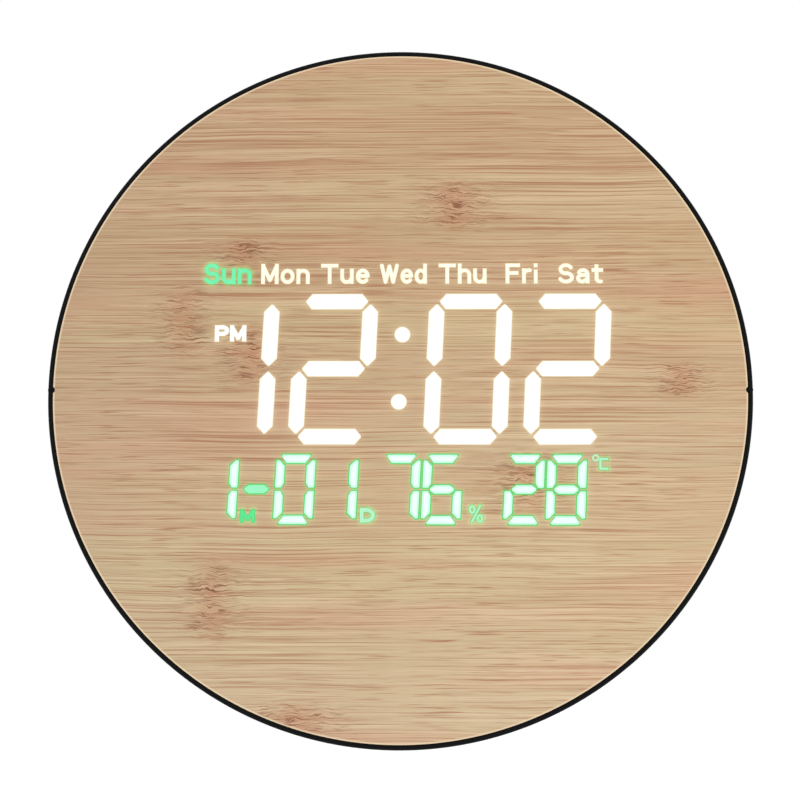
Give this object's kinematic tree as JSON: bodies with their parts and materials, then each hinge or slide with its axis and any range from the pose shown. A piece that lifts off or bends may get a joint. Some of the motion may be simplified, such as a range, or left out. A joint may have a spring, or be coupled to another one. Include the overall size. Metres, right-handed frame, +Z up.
{
  "type": "alarm clock",
  "caption": "Round wall and desk alarm clock: wood-grain face over a lit display of time, date, weekday, humidity and temperature, drum-shaped back with keyhole, buttons and fold-out foot.",
  "frame": {"origin": "on the clock's axis in the plane of its flat back, where it meets the wall", "axes": "+Z up, +Y into the wall out of the back, the face looks along -Y, +X to the right seen from the front"},
  "size_m": [0.25, 0.03, 0.25],
  "materials": {
    "case_plastic": "charcoal ABS, fine texture",
    "cover_plastic": "black ABS, fine texture",
    "wood_film": "printed bamboo grain, satin",
    "panel_acrylic": "clear smoked acrylic",
    "foam_tape": "black foam",
    "mask_film": "black print",
    "block_plastic": "white polycarbonate",
    "white_light": "clear resin, lit white",
    "green_light": "clear resin, lit green",
    "legend_light": "clear resin, lit warm white",
    "board_resin": "green solder mask",
    "led_resin": "clear resin",
    "chip_resin": "black epoxy",
    "socket_plastic": "ivory nylon",
    "ribbon_film": "white polyester",
    "screw_steel": "zinc plated",
    "can_steel": "bright steel",
    "cell_steel": "nickel plated",
    "pin_steel": "ground steel",
    "contact_brass": "plated spring brass",
    "switch_plastic": "black nylon",
    "lead_jacket": "black PVC",
    "sensor_plastic": "white cap",
    "button_plastic": "dark grey ABS",
    "plunger_plastic": "nylon",
    "sole_rubber": "soft rubber"
  },
  "bodies": {
    "case": {"board_passives": "chip_resin", "buzzer": "switch_plastic", "capacitors": "can_steel", "cell_contact_minus": "contact_brass", "cell_contact_plus": "contact_brass", "cell_holder": "switch_plastic", "coin_cell": "cell_steel", "control_board": "board_resin", "control_screws": "screw_steel", "control_socket": "socket_plastic", "cover_screws": "screw_steel", "crystal_can": "can_steel", "display_board": "board_resin", "display_film": "mask_film", "display_ribbon": "ribbon_film", "display_screws": "screw_steel", "display_socket": "socket_plastic", "driver_chips": "chip_resin", "face_panel": "panel_acrylic", "front_frame": "case_plastic", "humidity_sensor": "sensor_plastic", "legend_light_bars": "legend_light", "light_sensor": "chip_resin", "microcontroller": "chip_resin", "panel_tape": "foam_tape", "power_board": "board_resin", "power_lead": "lead_jacket", "power_screws": "screw_steel", "rear_cover": "cover_plastic", "reflector_block": "block_plastic", "segment_leds": "led_resin", "sensor_board": "board_resin", "sensor_lead": "lead_jacket", "sensor_screws": "screw_steel", "small_light_bars": "green_light", "stand_pin": "pin_steel", "switch_bodies": "switch_plastic", "time_light_bars": "white_light", "usb_socket": "can_steel", "usb_tongue": "switch_plastic", "voltage_regulator": "chip_resin", "wood_grain_film": "wood_film"},
    "lid": {"battery_lid": "cover_plastic"},
    "foot": {"stand_foot": "cover_plastic", "stand_pad": "sole_rubber"},
    "mode_key": {"mode_button": "button_plastic", "mode_plunger": "plunger_plastic"},
    "set_key": {"set_button": "button_plastic", "set_plunger": "plunger_plastic"},
    "up_key": {"up_button": "button_plastic", "up_plunger": "plunger_plastic"},
    "down_key": {"down_button": "button_plastic", "down_plunger": "plunger_plastic"}
  },
  "joints": [
    {"name": "lid_twist", "type": "hinge", "parent": "case", "child": "lid", "pos_m": [0.052, 0, 0.03], "axis": [0, 1, 0], "range_deg": [0, 30]},
    {"name": "foot_hinge", "type": "hinge", "parent": "case", "child": "foot", "pos_m": [0, -0.0026, -0.082], "axis": [-1, 0, 0], "range_deg": [0, 115]},
    {"name": "mode_press", "type": "slide", "parent": "case", "child": "mode_key", "axis": [0, -1, 0], "range_m": [0, 0.0005], "stiffness_N_per_m": 800},
    {"name": "set_press", "type": "slide", "parent": "case", "child": "set_key", "axis": [0, -1, 0], "range_m": [0, 0.0005], "stiffness_N_per_m": 800},
    {"name": "up_press", "type": "slide", "parent": "case", "child": "up_key", "axis": [0, -1, 0], "range_m": [0, 0.0005], "stiffness_N_per_m": 800},
    {"name": "down_press", "type": "slide", "parent": "case", "child": "down_key", "axis": [0, -1, 0], "range_m": [0, 0.0005], "stiffness_N_per_m": 800}
  ]
}
